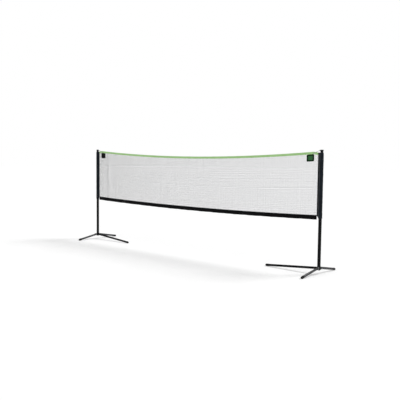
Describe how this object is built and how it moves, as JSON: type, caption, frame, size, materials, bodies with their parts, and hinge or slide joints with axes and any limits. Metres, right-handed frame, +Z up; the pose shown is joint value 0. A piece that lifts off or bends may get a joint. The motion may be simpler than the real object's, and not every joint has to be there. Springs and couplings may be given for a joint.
{
  "type": "portable badminton net",
  "caption": "Free-standing badminton net hung between telescoping posts on folding T-shaped feet, with adjustable height, fabric sleeves and a taped top edge.",
  "frame": {"origin": "on the floor, half way between the two post axes", "axes": "+X along the net from the left post to the right one, +Y from the front to the back, +Z up"},
  "size_m": [4.449, 0.8094, 1.55],
  "materials": {
    "black_coat": "black powder coat on steel tube",
    "black_nylon": "moulded black nylon",
    "charcoal_nylon": "moulded charcoal nylon with grip ribs",
    "black_rubber": "moulded black rubber",
    "zinc_steel": "bright zinc plated steel",
    "black_cloth": "woven black polyester",
    "lime_webbing": "light green woven tape",
    "pale_mesh": "fine pale grey knitted mesh",
    "green_patch": "dark green coated cloth with a stitched edge",
    "black_patch": "black coated cloth with a stitched edge",
    "grey_cord": "braided grey polyester cord"
  },
  "bodies": {
    "base": {"left_hub": "black_nylon", "left_lower_tube": "black_coat", "left_inner_leg": "black_coat", "left_inner_foot": "black_rubber", "left_leg_screw": "zinc_steel", "left_post_screw": "zinc_steel", "left_lower_collet": "black_nylon", "left_front_leg_rivet": "zinc_steel", "left_back_leg_rivet": "zinc_steel", "right_hub": "black_nylon", "right_lower_tube": "black_coat", "right_inner_leg": "black_coat", "right_inner_foot": "black_rubber", "right_leg_screw": "zinc_steel", "right_post_screw": "zinc_steel", "right_lower_collet": "black_nylon", "right_front_leg_rivet": "zinc_steel", "right_back_leg_rivet": "zinc_steel"},
    "left_front_leg": {"left_front_leg": "black_coat", "left_front_leg_plug": "black_nylon", "left_front_foot": "black_rubber"},
    "left_back_leg": {"left_back_leg": "black_coat", "left_back_leg_plug": "black_nylon", "left_back_foot": "black_rubber"},
    "right_front_leg": {"right_front_leg": "black_coat", "right_front_leg_plug": "black_nylon", "right_front_foot": "black_rubber"},
    "right_back_leg": {"right_back_leg": "black_coat", "right_back_leg_plug": "black_nylon", "right_back_foot": "black_rubber"},
    "left_lower_collar": {"left_lower_collar": "charcoal_nylon"},
    "left_mid": {"left_mid_tube": "black_coat", "left_mid_glide": "black_nylon", "left_mid_collet": "black_nylon"},
    "left_mid_collar": {"left_mid_collar": "charcoal_nylon"},
    "right_lower_collar": {"right_lower_collar": "charcoal_nylon"},
    "right_mid": {"right_mid_tube": "black_coat", "right_mid_glide": "black_nylon", "right_mid_collet": "black_nylon"},
    "right_mid_collar": {"right_mid_collar": "charcoal_nylon"},
    "left_top": {"left_top_tube": "black_coat", "left_top_glide": "black_nylon", "left_cap": "black_nylon", "left_eye": "zinc_steel", "left_sleeve": "black_cloth", "left_eyelet": "zinc_steel", "left_tie_cord": "grey_cord", "right_sleeve": "black_cloth", "right_eyelet": "zinc_steel", "right_tie_cord": "grey_cord", "left_patch": "black_patch", "right_patch": "green_patch", "net_mesh": "pale_mesh", "top_tape": "lime_webbing", "head_cord": "grey_cord", "bottom_band": "black_cloth"},
    "right_top": {"right_top_tube": "black_coat", "right_top_glide": "black_nylon", "right_cap": "black_nylon", "right_eye": "zinc_steel"}
  },
  "joints": [
    {"name": "left_mid_slide", "type": "slide", "parent": "base", "child": "left_mid", "axis": [0, 0, 1], "range_m": [0, 0.61]},
    {"name": "left_top_slide", "type": "slide", "parent": "left_mid", "child": "left_top", "axis": [0, 0, 1], "range_m": [-0.58, 0]},
    {"name": "left_lower_collar_turn", "type": "hinge", "parent": "base", "child": "left_lower_collar", "pos_m": [-2.2, 0, 0.872], "axis": [0, 0, 1], "range_deg": [0, 90]},
    {"name": "left_mid_collar_turn", "type": "hinge", "parent": "left_mid", "child": "left_mid_collar", "pos_m": [-2.2, 0, 0.92], "axis": [0, 0, 1], "range_deg": [0, 90]},
    {"name": "left_front_leg_fold", "type": "hinge", "parent": "base", "child": "left_front_leg", "pos_m": [-2.2, -0.04602, 0.076], "axis": [-1, 0, 0], "range_deg": [0, 98]},
    {"name": "left_back_leg_fold", "type": "hinge", "parent": "base", "child": "left_back_leg", "pos_m": [-2.2, 0.04602, 0.076], "axis": [1, 0, 0], "range_deg": [0, 98]},
    {"name": "right_mid_slide", "type": "slide", "parent": "base", "child": "right_mid", "axis": [0, 0, 1], "range_m": [0, 0.61]},
    {"name": "right_top_slide", "type": "slide", "parent": "right_mid", "child": "right_top", "axis": [0, 0, 1], "range_m": [-0.58, 0]},
    {"name": "right_lower_collar_turn", "type": "hinge", "parent": "base", "child": "right_lower_collar", "pos_m": [2.2, 0, 0.872], "axis": [0, 0, 1], "range_deg": [0, 90]},
    {"name": "right_mid_collar_turn", "type": "hinge", "parent": "right_mid", "child": "right_mid_collar", "pos_m": [2.2, 0, 0.92], "axis": [0, 0, 1], "range_deg": [0, 90]},
    {"name": "right_front_leg_fold", "type": "hinge", "parent": "base", "child": "right_front_leg", "pos_m": [2.2, -0.04602, 0.076], "axis": [-1, 0, 0], "range_deg": [0, 98]},
    {"name": "right_back_leg_fold", "type": "hinge", "parent": "base", "child": "right_back_leg", "pos_m": [2.2, 0.04602, 0.076], "axis": [1, 0, 0], "range_deg": [0, 98]}
  ],
  "couplings": [
    {"joint": "right_mid_slide", "follows": "left_mid_slide", "ratio": 1},
    {"joint": "right_top_slide", "follows": "left_top_slide", "ratio": 1}
  ]
}
